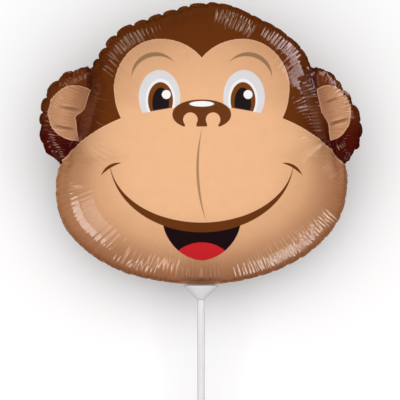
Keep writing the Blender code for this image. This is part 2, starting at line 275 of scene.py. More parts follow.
def in_ear_axes(x, y, side, narrowing=0.0):
    """A point along the short and long axes of an ear, whose ellipse is at 1. Side is -1 or 1."""
    across = HEAD_WIDTH * (EAR_HALF_AXES[0] - narrowing)
    along = HEAD_WIDTH * EAR_HALF_AXES[1]
    dx = side * x - HEAD_WIDTH * (EAR_CENTRE[0] + narrowing)
    dy = y - HEAD_WIDTH * EAR_CENTRE[1]
    turned_x = dx * math.cos(EAR_LEAN) + dy * math.sin(EAR_LEAN)
    turned_y = -dx * math.sin(EAR_LEAN) + dy * math.cos(EAR_LEAN)
    return turned_x / across, turned_y / along


def ear_radius(degrees, side):
    """Distance from the middle of the head to the far side of an ear, or 0 where the ear isn't in the way."""
    angle = np.radians(degrees)
    start = in_ear_axes(0.0, 0.0, side)
    end = in_ear_axes(np.cos(angle), np.sin(angle), side)
    step = (end[0] - start[0], end[1] - start[1])
    a = step[0] ** 2 + step[1] ** 2
    b = start[0] * step[0] + start[1] * step[1]
    c = start[0] ** 2 + start[1] ** 2 - 1
    under_root = b**2 - a * c
    return np.where(under_root > 0, (-b + np.sqrt(np.maximum(under_root, 0))) / a, 0)


def outline_radius(degrees):
    """Distance from the middle of the head to the outer edge of the seam, ears included."""
    head = HEAD_WIDTH * around(HEAD_OUTLINE, degrees)
    return np.maximum(head, np.maximum(ear_radius(degrees, -1), ear_radius(degrees, 1)))


def away_from(degrees, middle):
    """The angle between these directions and a middle one, from -180 to 180 degrees."""
    return (np.asarray(degrees, float) - middle + 180) % 360 - 180


def gathering(degrees):
    """How strongly the seam is gathered at these angles, from 0 to 1."""
    gathered = np.clip(around(GATHERING, degrees), 0, 1)
    for middle, half_width, share in CALM_PLACES:
        off = away_from(degrees, middle) / half_width
        gathered = gathered * (1 - share * np.exp(-(off**2)))
    return gathered


def flange_lean(degrees):
    """How far the seam's flange leans back. It is flat at the neck, and hidden behind the muzzle."""
    hidden = np.clip((FLANGE_HIDDEN_BELOW - gathering(degrees)) / FLANGE_HIDING_RANGE, 0, 1)
    lean = FLANGE_LEAN + (HIDDEN_FLANGE_LEAN - FLANGE_LEAN) * hidden**2 * (3 - 2 * hidden)
    off = away_from(degrees, NECK_DIRECTION) / FLANGE_FLAT_DEGREES
    return lean * (1 - np.exp(-(off**4)))


def ear_root(degrees, edge):
    """Whether the seam follows the head, at 0, or an ear carries on past the head's own edge, at 1."""
    share = np.clip((outline_radius(degrees) - edge) / EAR_ROOT_EASING, 0, 1)
    return share**2 * (3 - 2 * share)


def dome_height(x, y):
    """Height of the head's own pillow over the seam's plane, and what the crease at an ear takes away."""
    radius = np.hypot(x, y)
    degrees = np.degrees(np.arctan2(y, x))
    edge = HEAD_WIDTH * around(HEAD_OUTLINE, degrees)
    root = ear_root(degrees, edge)
    from_crease = (radius - EAR_CREASE_PLACE * edge) / EAR_CREASE_WIDTH
    crease = EAR_CREASE_DEPTH * root * np.exp(-(from_crease**2))
    edge = edge - FLANGE_WIDTH * np.cos(flange_lean(degrees)) * (1 - root)
    middle = HEAD_WIDTH * ROUND_RADIUS_SHARE - SEAM_WIDTH
    share = radius / edge
    for _ in range(EDGE_BLEND_STEPS):
        weight = np.clip(share, 0, 1) ** 2
        share = 0.5 * share + 0.5 * radius / (edge * weight + middle * (1 - weight))
    full = np.sqrt(np.clip(1 - share**DOME_POWER, 0, None))
    start = math.sqrt(1 - EAR_SLOPE_START**DOME_POWER)
    slope = DOME_POWER * EAR_SLOPE_START ** (DOME_POWER - 1) / (2 * start)
    even = np.where(share > EAR_SLOPE_START, start - slope * (share - EAR_SLOPE_START), full)
    return HEAD_DEPTH / 2 * (full * (1 - root) + np.clip(even, 0, None) * root), crease


def ear_height(x, y):
    """Height of the two ears' pillows over the seam's plane."""
    height = 0
    for side in (-1, 1):
        short, long = in_ear_axes(x, y, side, EAR_PILLOW_NARROWING)
        height = height + EAR_DEPTH / 2 * np.sqrt(np.clip(1 - short**2 - long**2, 0, None))
    return height


def foil_height(x, y):
    """Height of the smooth inflated surface over the seam's plane: the head and the ears run together."""
    head, crease = dome_height(x, y)
    together = (head**LOBE_BLEND + ear_height(x, y) ** LOBE_BLEND) ** (1 / LOBE_BLEND)
    return np.maximum(together - crease, np.minimum(together, SEAM_THICKNESS))


def cup_rim_height():
    """Height of the cup's rim in the head's frame, just under the seam at the chin."""
    return -float(outline_radius(NECK_DIRECTION)) - FIT_GAP - SEAM_THICKNESS / 2


def cup_inner_radius(down):
    """Radius of the cup's hollow at a depth under its rim."""
    shoulder = STICK_DIAMETER / 2 + CUP_SHOULDER
    slope = (CUP_RIM_DIAMETER / 2 - shoulder) / CUP_HEIGHT
    return CUP_RIM_DIAMETER / 2 - CUP_WALL * math.hypot(1, slope) - slope * down


def resting_pose():
    """The matrix that lays the head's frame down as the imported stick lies."""
    mount = next(m for m in frame["record"]["mounts"] if m["name"] == "stick_end")
    turn = Matrix.Rotation(math.atan2(-mount["axis"][2], -mount["axis"][1]), 4, "X")
    end = cup_rim_height() - CUP_HEIGHT - FIT_GAP - STICK_LENGTH
    wall = Vector((0, end, (STICK_DIAMETER - STICK_WALL) / 2))
    return Matrix.Translation(Vector(mount["pos_m"]) - turn @ wall) @ turn


# The foil


def distance(a, b):
    return np.sqrt(((a - b) ** 2).sum(-1))


def length_round(radius, outward, crowding):
    """Length along the outline up to each direction, where steps outwards count less by the crowding."""
    steps = np.hypot(crowding * outward, radius * math.radians(DENSE_STEP))
    return np.concatenate([[0], np.cumsum(steps)])


def turn_on(values):
    """The value of the next column round the ring, in each column's place."""
    return np.roll(values, -1, 1)


class Foil:
    """The blown-up foil as three strips of rows round the head: front film, back film and the seam's flange.

    A foil can't stretch. Each strip keeps the lengths that it had when it lay flat, so the seam, drawn in to
    a shorter outline, buckles into puckers that run inwards as finer and broader wrinkles.
    """

    def __init__(self):
        self.draw = np.random.RandomState(WRINKLE_SEED)
        dense = np.arange(0, 360, DENSE_STEP)
        radius = outline_radius(dense)
        outward = np.diff(radius, append=radius[0])
        length = length_round(radius, outward, COLUMN_CROWDING)
        self.angles = np.interp(np.arange(COLUMNS) / COLUMNS * length[-1], length, np.append(dense, 360))
        self.cos = np.cos(np.radians(self.angles))
        self.sin = np.sin(np.radians(self.angles))
        self.gathered = gathering(self.angles)
        self.lean = flange_lean(self.angles)
        self.edge = outline_radius(self.angles) - FLANGE_WIDTH * np.cos(self.lean)
        self.ray_radius, self.ray_height, self.ray_length = self.rays()
        self.edge = self.ray_radius[:, -1]
        self.total = self.ray_length[:, -1]
        self.depths = self.row_depths()
        self.excess = LEAST_EXCESS + (1 - LEAST_EXCESS) * self.gathered**EXCESS_POWER
        self.swell, self.wave = self.puckers(dense, radius, outward)

    def puckers(self, dense, radius, outward):
        """The seam's outward swell between its cusps, and its wave across its plane, in metres."""
        length = length_round(radius, outward, PUCKER_CROWDING)
        draw = np.random.RandomState(PUCKER_SEED)
        shifts = draw.uniform(-PUCKER_IRREGULARITY, PUCKER_IRREGULARITY, PUCKERS)
        shifts = np.concatenate([shifts[-1:], shifts, shifts[:1]])
        numbers = np.arange(PUCKERS + 2)
        cusps = (numbers + shifts) / PUCKERS * length[-1]
        turns = np.interp(np.interp(self.angles, np.append(dense, 360), length), cusps, numbers)
        height = PUCKER_HEIGHT * PUCKER_EXAGGERATION * self.gathered
        swell = height * (np.sin(math.pi * (turns % 1)) - 2 / math.pi)
        return swell, SEAM_WAVE * self.gathered * np.cos(math.pi * turns)

    def rays(self):
        """Radius, height and length along the film, from the head's middle to the weld in each column."""
        share = np.sin(np.linspace(0, 1, RAY_SAMPLES) * math.pi / 2)
        radius = self.edge[:, None] * share
        height = foil_height(radius * self.cos[:, None], radius * self.sin[:, None])
        height[:, -1] = 0
        for middle, half_width, depth in DENTS:
            off = (self.angles[:, None] - middle) / half_width
            radius -= depth * np.exp(-(off**2)) * share**DENT_POWER
        steps = np.hypot(np.diff(radius, axis=1), np.diff(height, axis=1))
        return radius, height, np.concatenate([np.zeros((COLUMNS, 1)), np.cumsum(steps, axis=1)], axis=1)

    def row_depths(self):
        """Depths of the wrinkled rows, along the film from the weld."""
        depths = [0.0]
        step = FIRST_ROW
        while depths[-1] < WRINKLED_DEPTH:
            depths.append(depths[-1] + step)
            step = min(step * ROW_GROWTH, WIDEST_ROW)
        return np.array(depths)

    def smooth_rows(self, along, face):
        """Points of the smooth surface at lengths along the film from the middle, one row of columns each."""
        radius = np.empty_like(along)
        height = np.empty_like(along)
        for j in range(COLUMNS):
            radius[:, j] = np.interp(along[:, j], self.ray_length[j], self.ray_radius[j])
            height[:, j] = np.interp(along[:, j], self.ray_length[j], self.ray_height[j])
        return np.stack([radius * self.cos, radius * self.sin, face * height], 2)

    def flat_rows(self, along):
        """The same points in the flat sheet, before it was blown up."""
        return np.stack([along * self.cos, along * self.sin, 0 * along], 2)

    def band(self, wavelength, spacing):
        """Random waves round the seam, of about one wavelength."""
        frequency = np.fft.rfftfreq(COLUMNS) / spacing
        gain = np.exp(-(((frequency - 1 / wavelength) / (RIPPLE_VARIETY / wavelength)) ** 2))
        wave = np.fft.irfft(np.fft.rfft(self.draw.normal(0, 1, COLUMNS)) * gain, COLUMNS)
        return wave / wave.std()

    def first_ripples(self, spacing):
        """The start of the wrinkles: short waves at the seam, and longer ones deeper in."""
        ripples = np.zeros((len(self.depths), COLUMNS))
        for wavelength in RIPPLE_WAVELENGTHS:
            home = (wavelength / RIPPLE_AT_A_MILLIMETRE) ** 2 * 0.001
            window = np.log(np.maximum(self.depths, RIPPLE_START) / home) / RIPPLE_OVERLAP
            window = np.exp(-(window**2))
            ripples += window[:, None] * self.band(wavelength, spacing) * wavelength / RIPPLE_OF_THAT_HEIGHT
        return RIPPLE_HEIGHT * ripples * np.exp(-self.depths / RIPPLE_REACH)[:, None]

    def smooth_strips(self, along, widths):
        """The strips before they wrinkle, on the smooth surface but with the seam's puckers."""
        out = self.edge + widths * np.cos(self.lean)
        flange = np.stack([out * self.cos, out * self.sin, -widths * np.sin(self.lean)], 2)
        strips = [self.smooth_rows(along, 1), self.smooth_rows(along, -1), flange]
        film_fade = np.exp(-self.depths / PUCKER_REACH)
        for place, fade in zip(strips, (film_fade, film_fade, np.ones(FLANGE_ROWS))):
            place[..., 0] += self.swell * self.cos * fade[:, None]
            place[..., 1] += self.swell * self.sin * fade[:, None]
            place[..., 2] += self.wave * fade[:, None]
        return strips

    def rippled(self, smooth, spacing):
        """The smooth strips with the first ripples and a wave along the weld."""
        ripples = self.first_ripples(spacing)
        share = LEAST_WELD_WAVE + (1 - LEAST_WELD_WAVE) * self.gathered
        weld_wave = WELD_WAVE_HEIGHT * self.band(WELD_WAVELENGTH, spacing) * share
        strips = []
        for place, face in zip(smooth, (1, -1, 0)):
            start = place.copy()
            if face:
                start += normals(place, face) * ripples[..., None]
                start[..., 2] += weld_wave * np.exp(-self.depths / WELD_WAVE_REACH)[:, None]
            else:
                start[..., 2] += weld_wave
            strips.append(start.astype(np.float32))
        return strips

    def blow_up(self, steps):
        """Lets the strips give way until they hardly stretch, and returns them smooth and wrinkled."""
        along = self.total - self.depths[:, None]
        widths = np.linspace(0, FLANGE_WIDTH, FLANGE_ROWS)[:, None]
        smooth = self.smooth_strips(along, widths)
        flat = [self.flat_rows(along), self.flat_rows(along), self.flat_rows(self.total + widths)]
        spacing = float(distance(flat[0][0], turn_on(flat[0])[0]).mean())
        strips = self.rippled(smooth, spacing)
        smooth = [place.astype(np.float32) for place in smooth]
        calm = SEAM_EXCESS + (1 - SEAM_EXCESS) * np.clip(self.depths / SEAM_CALM, 0, 1)[:, None] ** 2
        shares = (calm, calm, SEAM_EXCESS)
        rests = [
            Rest(lying.astype(np.float32), place, self.excess * share)
            for lying, place, share in zip(flat, smooth, shares)
        ]
        rests[2].curve *= 0
        rests[2].bending *= FLANGE_BENDING
        speeds = [np.zeros_like(x) for x in strips]
        for step in range(steps):
            forces = [rest.forces(x) for rest, x in zip(rests, strips)]
            weld = (forces[0][0] + forces[1][0] + forces[2][0]) / 2
            for k, force in enumerate(forces):
                force[0] = weld
                speeds[k] = KEPT_SPEED * speeds[k] + PUSH * force
                if k < 2:
                    speeds[k][-HELD_ROWS:] = 0
                strips[k] += speeds[k]
            if step % EVENING_STEPS == EVENING_STEPS - 1:
                for k, rows in enumerate((EVENED_ROWS, EVENED_ROWS, 0)):
                    moved = strips[k] - smooth[k]
                    strips[k] -= EVENING_SHARE * broad_part(moved, BROADEST_WRINKLE / spacing, rows)
            shared = (strips[0][0] + strips[1][0] + strips[2][0]) / 3
            for x in strips:
                x[0] = shared
        return smooth, strips


def normals(points, face):
    """Normals of a film's grid of points, towards its outside."""
    across = np.roll(points, -1, 1) - np.roll(points, 1, 1)
    inwards = np.gradient(points, axis=0)
    normal = np.cross(across, inwards)
    normal /= np.maximum(np.sqrt((normal**2).sum(-1, keepdims=True)), 1e-12)
    return normal * np.sign(normal[..., 2].mean() * face)


def broad_part(moved, columns, rows):
    """The part of a movement that is broader than a wrinkle, which the air's pressure doesn't allow."""
    gain = np.exp(-2 * (math.pi * np.fft.rfftfreq(moved.shape[1]) * columns) ** 2)
    broad = np.fft.irfft(np.fft.rfft(moved, axis=1) * gain[:, None], moved.shape[1], axis=1)
    if rows:
        padded = np.concatenate([np.repeat(broad[:1], rows, 0), broad, np.repeat(broad[-1:], rows, 0)])
        summed = np.cumsum(np.concatenate([np.zeros_like(padded[:1]), padded]), 0)
        width = 2 * rows + 1
        broad = (summed[width:] - summed[:-width]) / width
    return broad.astype(np.float32)


class Rest:
    """The lengths that a strip keeps, and the forces that bring it back to them."""

    def __init__(self, flat, smooth, excess):
        wide = distance(smooth, turn_on(smooth))
        self.round = (wide + excess * (distance(flat, turn_on(flat)) - wide)).astype(np.float32)
        self.inwards = distance(flat[1:], flat[:-1]) * (1 - PULLED_TIGHT)
        self.falling = distance(flat[1:], turn_on(flat)[:-1])
        self.rising = distance(flat[:-1], turn_on(flat)[1:])
        self.curve = np.zeros_like(smooth)
        self.curve[1:-1] = smooth[:-2] + smooth[2:] - 2 * smooth[1:-1]
        self.bending = BENDING

    def forces(self, x):
        """The forces on the strip's points, from its stretches and its bends."""
        beside = turn_on(x)
        force = np.zeros_like(x)
        pulled = pull(x, beside, self.round)
        force += pulled - np.roll(pulled, 1, 1)
        pulled = pull(x[:-1], x[1:], self.inwards)
        force[:-1] += pulled
        force[1:] -= pulled
        pulled = pull(x[1:], beside[:-1], self.falling) * DIAGONAL_PULL
        force[1:] += pulled
        force[:-1] -= np.roll(pulled, 1, 1)
        pulled = pull(x[:-1], beside[1:], self.rising) * DIAGONAL_PULL
        force[:-1] += pulled
        force[1:] -= np.roll(pulled, 1, 1)
        bend = np.roll(x, 1, 1) + beside - 2 * x
        force -= self.bending * (np.roll(bend, 1, 1) + turn_on(bend) - 2 * bend)
        bend = x[:-2] + x[2:] - 2 * x[1:-1] - self.curve[1:-1]
        force[1:-1] += 2 * INWARD_BENDING * self.bending * bend
        force[:-2] -= INWARD_BENDING * self.bending * bend
        force[2:] -= INWARD_BENDING * self.bending * bend
        return force


def pull(a, b, rest):
    """Half of what would bring two points to their distance at rest, as it acts on the first."""
    between = b - a
    length = np.sqrt((between * between).sum(-1))
    return between * (0.5 * (length - rest) / np.maximum(length, 1e-9))[..., None]


class Sheet:
    """A mesh that grows row by row, with each point's place in the print and the height of its wrinkle."""

    def __init__(self):
        self.points = []
        self.prints = []
        self.wrinkles = []
        self.faces = []
        self.materials = []

    def row(self, points, prints, wrinkles=None):
        """Adds a row of points and returns its vertices' numbers."""
        first = len(self.points)
        self.points.extend(map(tuple, points))
        self.prints.extend(map(tuple, prints))
        self.wrinkles.extend(np.zeros(len(points)) if wrinkles is None else wrinkles)
        return list(range(first, len(self.points)))

    def add(self, corners, material):
        self.faces.append(corners)
        self.materials.append(material)

    def between(self, outer, inner, face, material):
        """Faces between two closed rows, where the inner row has as many vertices or half as many."""
        n = len(outer)
        ratio = n // len(inner)
        for i in range(0, n, ratio):
            a, b = inner[i // ratio], inner[(i // ratio + 1) % len(inner)]
            if ratio == 1:
                self.add((outer[i], outer[(i + 1) % n], b, a)[::face], material)
                continue
            self.add((outer[i], outer[i + 1], a)[::face], material)
            self.add((outer[i + 1], b, a)[::face], material)
            self.add((outer[i + 1], outer[(i + 2) % n], b)[::face], material)


def print_place(points, depth):
    """Millimetres across and up the face as the camera sees it, and how deep inside the weld."""
    nearer = 1 - points[:, 2] / VIEWING_DISTANCE
    depth = np.broadcast_to(depth, len(points))
    return np.stack([points[:, 0] / nearer, points[:, 1] / nearer, depth], 1) * MILLIMETRES


def crease_lift(places, draw):
    """How far the single wrinkles lift the film, in metres, at places given in millimetres."""
    u, v = places[..., 0], places[..., 1]
    lift = np.zeros_like(u)
    for first, last, count, half_width, height in CREASES:
        for line in range(count):
            share = line / max(count - 1, 1)
            ends = np.array(first) * (1 - share) + np.array(last) * share + draw.normal(0, CREASE_SCATTER, 4)
            run = ends[2:] - ends[:2]
            length = math.hypot(*run)
            along = ((u - ends[0]) * run[0] + (v - ends[1]) * run[1]) / length**2
            aside = ((u - ends[0]) * run[1] - (v - ends[1]) * run[0]) / length
            aside += draw.normal(0, CREASE_BOW) * length * along * (1 - along)
            off = (aside / half_width) ** 2
            taper = np.exp(-(((along - 0.5) / CREASE_HALF_LENGTH) ** 4))
            lift += height * draw.uniform(*CREASE_UNEVENNESS) * taper * (1 - off) * np.exp(-off)
    return lift / MILLIMETRES


def foil_mesh():
    """The whole foil as one closed skin: front, flange, neck and back, with a note of its sharp edges."""
    foil = Foil()
    smooth, strips = foil.blow_up(RELAXING_STEPS)
    sheet = Sheet()
    sharp = []
    outer_rows = []
    for face, material in ((1, 0), (-1, 1)):
        film, smooth_film = strips[material], smooth[material]
        places = np.stack([print_place(row, depth) for row, depth in zip(smooth_film, foil.depths)])
        lift = np.zeros(places.shape[:2])
        if face == 1:
            lift = crease_lift(places, np.random.RandomState(CREASE_SEED))
            film = film + normals(smooth_film, face) * lift[..., None]
        thick = np.array([0, 0, face * FOIL_HALF_THICKNESS])
        flange = [
            sheet.row(strips[2][k] + thick, print_place(smooth[2][k], -FLANGE_PRINT_STEP * k))
            for k in range(FLANGE_ROWS)
        ]
        for inner, outer in zip(flange, flange[1:]):
            sheet.between(outer, inner, face, material)
        sharp.append(flange[0])
        sharp.append(flange[-1])
        outer_rows.append(flange[-1])
        row = flange[0]
        skip = 1 if face == 1 else 2
        for k in range(skip, len(foil.depths), skip):
            if skip == 1 and foil.depths[k] > FULL_COLUMNS_DEPTH:
                skip = 2
            fade = math.exp(-foil.depths[k] / THICKNESS_REACH)
            points = (film[k] + thick * fade)[::skip]
            new = sheet.row(points, places[k][::skip], lift[k][::skip] * MILLIMETRES)
            sheet.between(row, new, face, material)
            row = new
        deepest = foil.depths[-1]
        for level, ratio in MIDDLE_ROWS:
            skip *= ratio
            along = (foil.total - deepest)[None, :] * level
            points = foil.smooth_rows(along, face)[0][::skip]
            new = sheet.row(points, print_place(points, (foil.total - along[0])[::skip]))
            sheet.between(row, new, face, material)
            row = new
        top = np.array([[0, 0, face * HEAD_DEPTH / 2]])
        middle = sheet.row(top, print_place(top, foil.total[:1]))[0]
        for i, vertex in enumerate(row):
            sheet.add((vertex, row[(i + 1) % len(row)], middle)[::face], material)
    close_edge(sheet, *outer_rows)
    return sheet, sharp


def close_edge(sheet, front, back):
    """Closes the seam's outer edge, and draws it down into the cup at the chin as the filling neck."""
    points = np.array([sheet.points[i] for i in front])
    root = [i for i in range(COLUMNS) if points[i, 1] < 0 and abs(points[i, 0]) < NECK_WIDTH / 2]
    for i in range(COLUMNS):
        j = (i + 1) % COLUMNS
        if not (i in root and j in root):
            sheet.add((front[j], front[i], back[i], back[j]), 1)
    rim = cup_rim_height()
    tail = CUP_HEIGHT - CUP_FLOOR - NECK_CLEARANCE
    rows = [[front[i] for i in root], [back[i] for i in root]]
    across = points[root, 0]
    for down in (*NECK_LEVELS, tail):
        width = min(cup_inner_radius(max(down, 0)) - NECK_CLEARANCE, NECK_WIDTH / 2) / (NECK_WIDTH / 2)
        fold = NECK_FOLD_HEIGHT * min(max(down, 0) / NECK_FOLDED_AT, 1.0)
        wave = fold * np.sin(across / NECK_WIDTH * NECK_FOLDS * math.pi)
        settled = min(max(down, 0) / NECK_SETTLED_AT, 1.0)
        new = []
        for side in (1, -1):
            height = points[root, 2] * (1 - settled) + wave * settled + side * FOIL_HALF_THICKNESS
            place = np.stack([across * width, np.full(len(root), rim - down), height], 1)
            new.append(sheet.row(place, print_place(place, -NECK_PRINT_DEPTH - down)))
        for i in range(len(root) - 1):
            sheet.add((rows[0][i], new[0][i], new[0][i + 1], rows[0][i + 1]), 0)
            sheet.add((rows[1][i + 1], new[1][i + 1], new[1][i], rows[1][i]), 1)
        sheet.add((rows[0][0], rows[1][0], new[1][0], new[0][0]), 1)
        sheet.add((rows[0][-1], new[0][-1], new[1][-1], rows[1][-1]), 1)
        rows = new
    for i in range(len(root) - 1):
        sheet.add((rows[0][i], rows[1][i], rows[1][i + 1], rows[0][i + 1]), 1)


def rest_on_floor(points):
    """Presses what would lie under the floor flat against it, with a soft edge round the flat."""
    softness = 0.0015
    points[:, 2] = (points[:, 2] + np.sqrt(points[:, 2] ** 2 + softness**2)) / 2
    return points


def foil_balloon(pose, front_material, back_material):
    """The foil head as one finished piece."""
    sheet, sharp = foil_mesh()
    points = np.array(sheet.points) @ np.array(pose.to_3x3()).T + np.array(pose.translation)
    mesh = bpy.data.meshes.new("foil_head")
    mesh.from_pydata(rest_on_floor(points).tolist(), [], sheet.faces)
    mesh.materials.append(front_material)
    mesh.materials.append(back_material)
    mesh.polygons.foreach_set("material_index", sheet.materials)
    place = mesh.attributes.new("print_place", "FLOAT_VECTOR", "POINT")
    place.data.foreach_set("vector", np.array(sheet.prints, np.float32).ravel())
    wrinkle = mesh.attributes.new("wrinkle", "FLOAT", "POINT")
    wrinkle.data.foreach_set("value", np.array(sheet.wrinkles, np.float32))
    mesh.shade_smooth()
    group = np.full(len(points), -1)
    for number, row in enumerate(sharp):
        group[row] = number
    ends = np.empty(2 * len(mesh.edges), np.int32)
    mesh.edges.foreach_get("vertices", ends)
    ends = group[ends.reshape(-1, 2)]
    edge_marks = mesh.attributes.new("sharp_edge", "BOOLEAN", "EDGE")
    edge_marks.data.foreach_set("value", (ends[:, 0] >= 0) & (ends[:, 0] == ends[:, 1]))
    mesh.validate()
    piece = bpy.data.objects.new("foil_head", mesh)
    bpy.context.scene.collection.objects.link(piece)
    return piece


# Materials


def ink(red, green, blue):
    """A colour that is named by its three values on a screen, from 0 to 255, as the shader takes it."""
    values = [c / 255 for c in (red, green, blue)]
    return (*(v / 12.92 if v <= 0.04045 else ((v + 0.055) / 1.055) ** 2.4 for v in values), 1)


def shades(*stops):
    """Colours in order of their depth inside the weld, each as its millimetres, red, green and blue."""
    return [(depth, ink(red, green, blue)) for depth, red, green, blue in stops]


# Colours of the print, of the light and shade painted into it, and of the plastic. Shades reach this far
# inside the weld, in millimetres
SHADES_REACH = 100.0
# Fur by depth: lighter a few millimetres inside the weld, as painted light on the steep rim that the lamps
# leave in shade
FUR_WITH_PAINTED_RIM_LIGHT = shades(
    (0, 112, 56, 20), (3, 136, 68, 25), (6, 140, 70, 25), (10, 124, 62, 22), (15, 115, 58, 20),
    (30, 108, 54, 19), (95, 106, 53, 19),
)
# Skin by depth: partly the print's airbrushed gradient and partly painted light and shade, lighter right at
# the weld, darkest about ten millimetres in and paler towards the middle. The chin's ramp is the darker, as
# painted shade, and the cheeks' the lighter, as painted light
INNER_SKIN_PRINT_AND_PAINTED_SHADE = shades((51, 204, 151, 113), (65, 224, 171, 129), (95, 241, 188, 144))
CHIN_SKIN_PRINT_AND_PAINTED_SHADE = shades(
    (0, 206, 144, 102), (5, 188, 125, 87), (10, 165, 107, 72), (15, 169, 112, 76), (24, 177, 119, 83),
    (34, 185, 130, 94), (42, 190, 137, 100),
) + INNER_SKIN_PRINT_AND_PAINTED_SHADE
CHEEK_SKIN_PRINT_AND_PAINTED_LIGHT = shades(
    (0, 232, 168, 125), (5, 226, 163, 118), (10, 211, 148, 104), (15, 200, 139, 98), (24, 190, 133, 94),
    (34, 190, 136, 98), (42, 194, 141, 103),
) + INNER_SKIN_PRINT_AND_PAINTED_SHADE
FUR = ink(108, 54, 19)
BACK_RIM_FUR = ink(88, 40, 17)
EAR_FUR = ink(78, 18, 10)
EAR_TOP_FUR = ink(110, 53, 23)
# Painted shade in the ears' roots
EAR_ROOT_PAINTED_SHADE = ink(56, 4, 14)
# Painted light for the top of the brows
BROW_SKIN_PAINTED_LIGHT = ink(234, 181, 138)
EAR_SKIN = ink(200, 147, 110)
# Painted shade for the ears' skin towards their roots
EAR_SKIN_PAINTED_SHADE = ink(162, 110, 78)
# Painted shade along the ears' folds
EAR_FOLD_PAINTED_SHADE = ink(128, 78, 56)
# The skin's pale printed border, and also the painted highlight on the wrinkles' ridges
PALE_BORDER_AND_RIDGE_HIGHLIGHT = ink(252, 214, 178)
BROW = ink(160, 125, 92)
EYE_WHITE = ink(226, 224, 228)
EYE_RING = ink(246, 246, 248)
IRIS = ink(122, 66, 23)
PUPIL = ink(30, 26, 30)
GLINT = ink(252, 252, 252)
NOSE = ink(108, 58, 27)
GROOVE = ink(176, 134, 98)
MOUTH = ink(27, 16, 20)
TONGUE = ink(205, 38, 46)
SMILE = ink(106, 56, 22)
NECK = ink(214, 212, 210)
WRINKLE_SHADE = ink(70, 30, 12)
CLOUD_SHADE = ink(60, 26, 12)
STREAK_SHADE = ink(40, 12, 4)
CUP_WHITE = (0.74, 0.74, 0.76, 1)
STICK_WHITE = (0.79, 0.79, 0.81, 1)

# How rough the surfaces are, and how many flow lines the plastic has across and along a piece
FOIL_ROUGHNESS = 0.30
CUP_ROUGHNESS = 0.36
STICK_ROUGHNESS = 0.32
LINES_ACROSS = 900
CUP_LINES = 900
STICK_LINES = 12


class Tone:
    """A socket in a material's node tree that takes part in Python expressions."""

    def __init__(self, tree, socket=None):
        self.tree = tree
        self.socket = socket

    def node(self, kind, settings=None, sockets=None, output=0):
        """Adds any node: its type, its settings, then the values or links of its sockets."""
        made = self.tree.nodes.new(kind)
        for name, value in (settings or {}).items():
            if name == "stops":
                ramp = made.color_ramp.elements
                for stop, (place, colour) in enumerate(value):
                    element = ramp[stop] if stop < len(ramp) else ramp.new(place)
                    element.position = place
                    element.color = colour
            else:
                setattr(made, name, value)
        for name, value in (sockets or {}).items():
            if isinstance(value, Tone):
                self.tree.links.new(value.socket, made.inputs[name])
            else:
                made.inputs[name].default_value = value
        return Tone(self.tree, made.outputs[output])

    def math(self, operation, *others, clamp=False):
        sockets = dict(enumerate((self, *others)))
        return self.node("ShaderNodeMath", {"operation": operation, "use_clamp": clamp}, sockets)

    def __add__(self, other):
        return self.math("ADD", other)

    def __radd__(self, other):
        return self.math("ADD", other)

    def __sub__(self, other):
        return self.math("SUBTRACT", other)

    def __rsub__(self, other):
        return self.node("ShaderNodeMath", {"operation": "SUBTRACT"}, {0: other, 1: self})

    def __mul__(self, other):
        return self.math("MULTIPLY", other)

    def __rmul__(self, other):
        return self.math("MULTIPLY", other)

    def __truediv__(self, other):
        return self.math("DIVIDE", other)

    def __pow__(self, other):
        return self.math("POWER", other)

    def __abs__(self):
        return self.math("ABSOLUTE")

    def __neg__(self):
        return self.math("MULTIPLY", -1.0)

    def least(self, other, softness=0.0):
        return self.math("SMOOTH_MIN", other, softness)

    def most(self, other, softness=0.0):
        return self.math("SMOOTH_MAX", other, softness)

    def inside(self, edge=0.35):
        """1 where this distance is below 0, with a soft edge that many millimetres wide."""
        return (self * (-1 / edge)).math("ADD", 0.5, clamp=True)

    def rising(self, low, high):
        """0 below low and 1 above high, with a smooth step between them."""
        sockets = {"Value": self, "From Min": low, "From Max": high}
        return self.node("ShaderNodeMapRange", {"interpolation_type": "SMOOTHSTEP"}, sockets)

    def part(self, axis):
        """One of the three values of this vector."""
        return self.node("ShaderNodeSeparateXYZ", None, {"Vector": self}, output=axis)

    def noise(self, scale, detail, roughness=0.5):
        """Cloudy values round 0.5, at this place."""
        sockets = {"Vector": self, "Scale": scale, "Detail": detail, "Roughness": roughness}
        return self.node("ShaderNodeTexNoise", None, sockets)

    def bump(self, strength, distance):
        """The normal of a surface that has this height."""
        sockets = {"Strength": strength, "Distance": distance, "Height": self}
        return self.node("ShaderNodeBump", None, sockets, output="Normal")

    def ramp(self, stops):
        """The colour at this depth, among shades."""
        stops = [(depth / SHADES_REACH, colour) for depth, colour in stops]
        return self.node("ShaderNodeValToRGB", {"stops": stops}, {0: self / SHADES_REACH})

    def mix(self, below, above):
        """Between two colours, by this value as the share of the second."""
        return self.node("ShaderNodeMix", {"data_type": "RGBA"}, {0: self, 6: below, 7: above}, output=2)


def new_material(name):
    """A material with its Principled shader, and a Tone to build its expressions from."""
    material = bpy.data.materials.new(name)
    material.use_nodes = True
    return material, material.node_tree.nodes["Principled BSDF"], Tone(material.node_tree)


def finish_with(shader, constants, links):
    """Sets the shader's plain values, then what varies over the surface."""
    for name, value in constants.items():
        shader.inputs[name].default_value = value
    for name, tone in links.items():
        tone.tree.links.new(tone.socket, shader.inputs[name])


def oval(x, y, centre, half_axes, power=2.0):
    """Rough distance outside an ellipse, or a form near one, in millimetres."""
    across = abs(x - centre[0]) / half_axes[0]
    up = abs(y - centre[1]) / half_axes[1]
    return ((across**power + up**power) ** (1 / power) - 1) * min(half_axes)


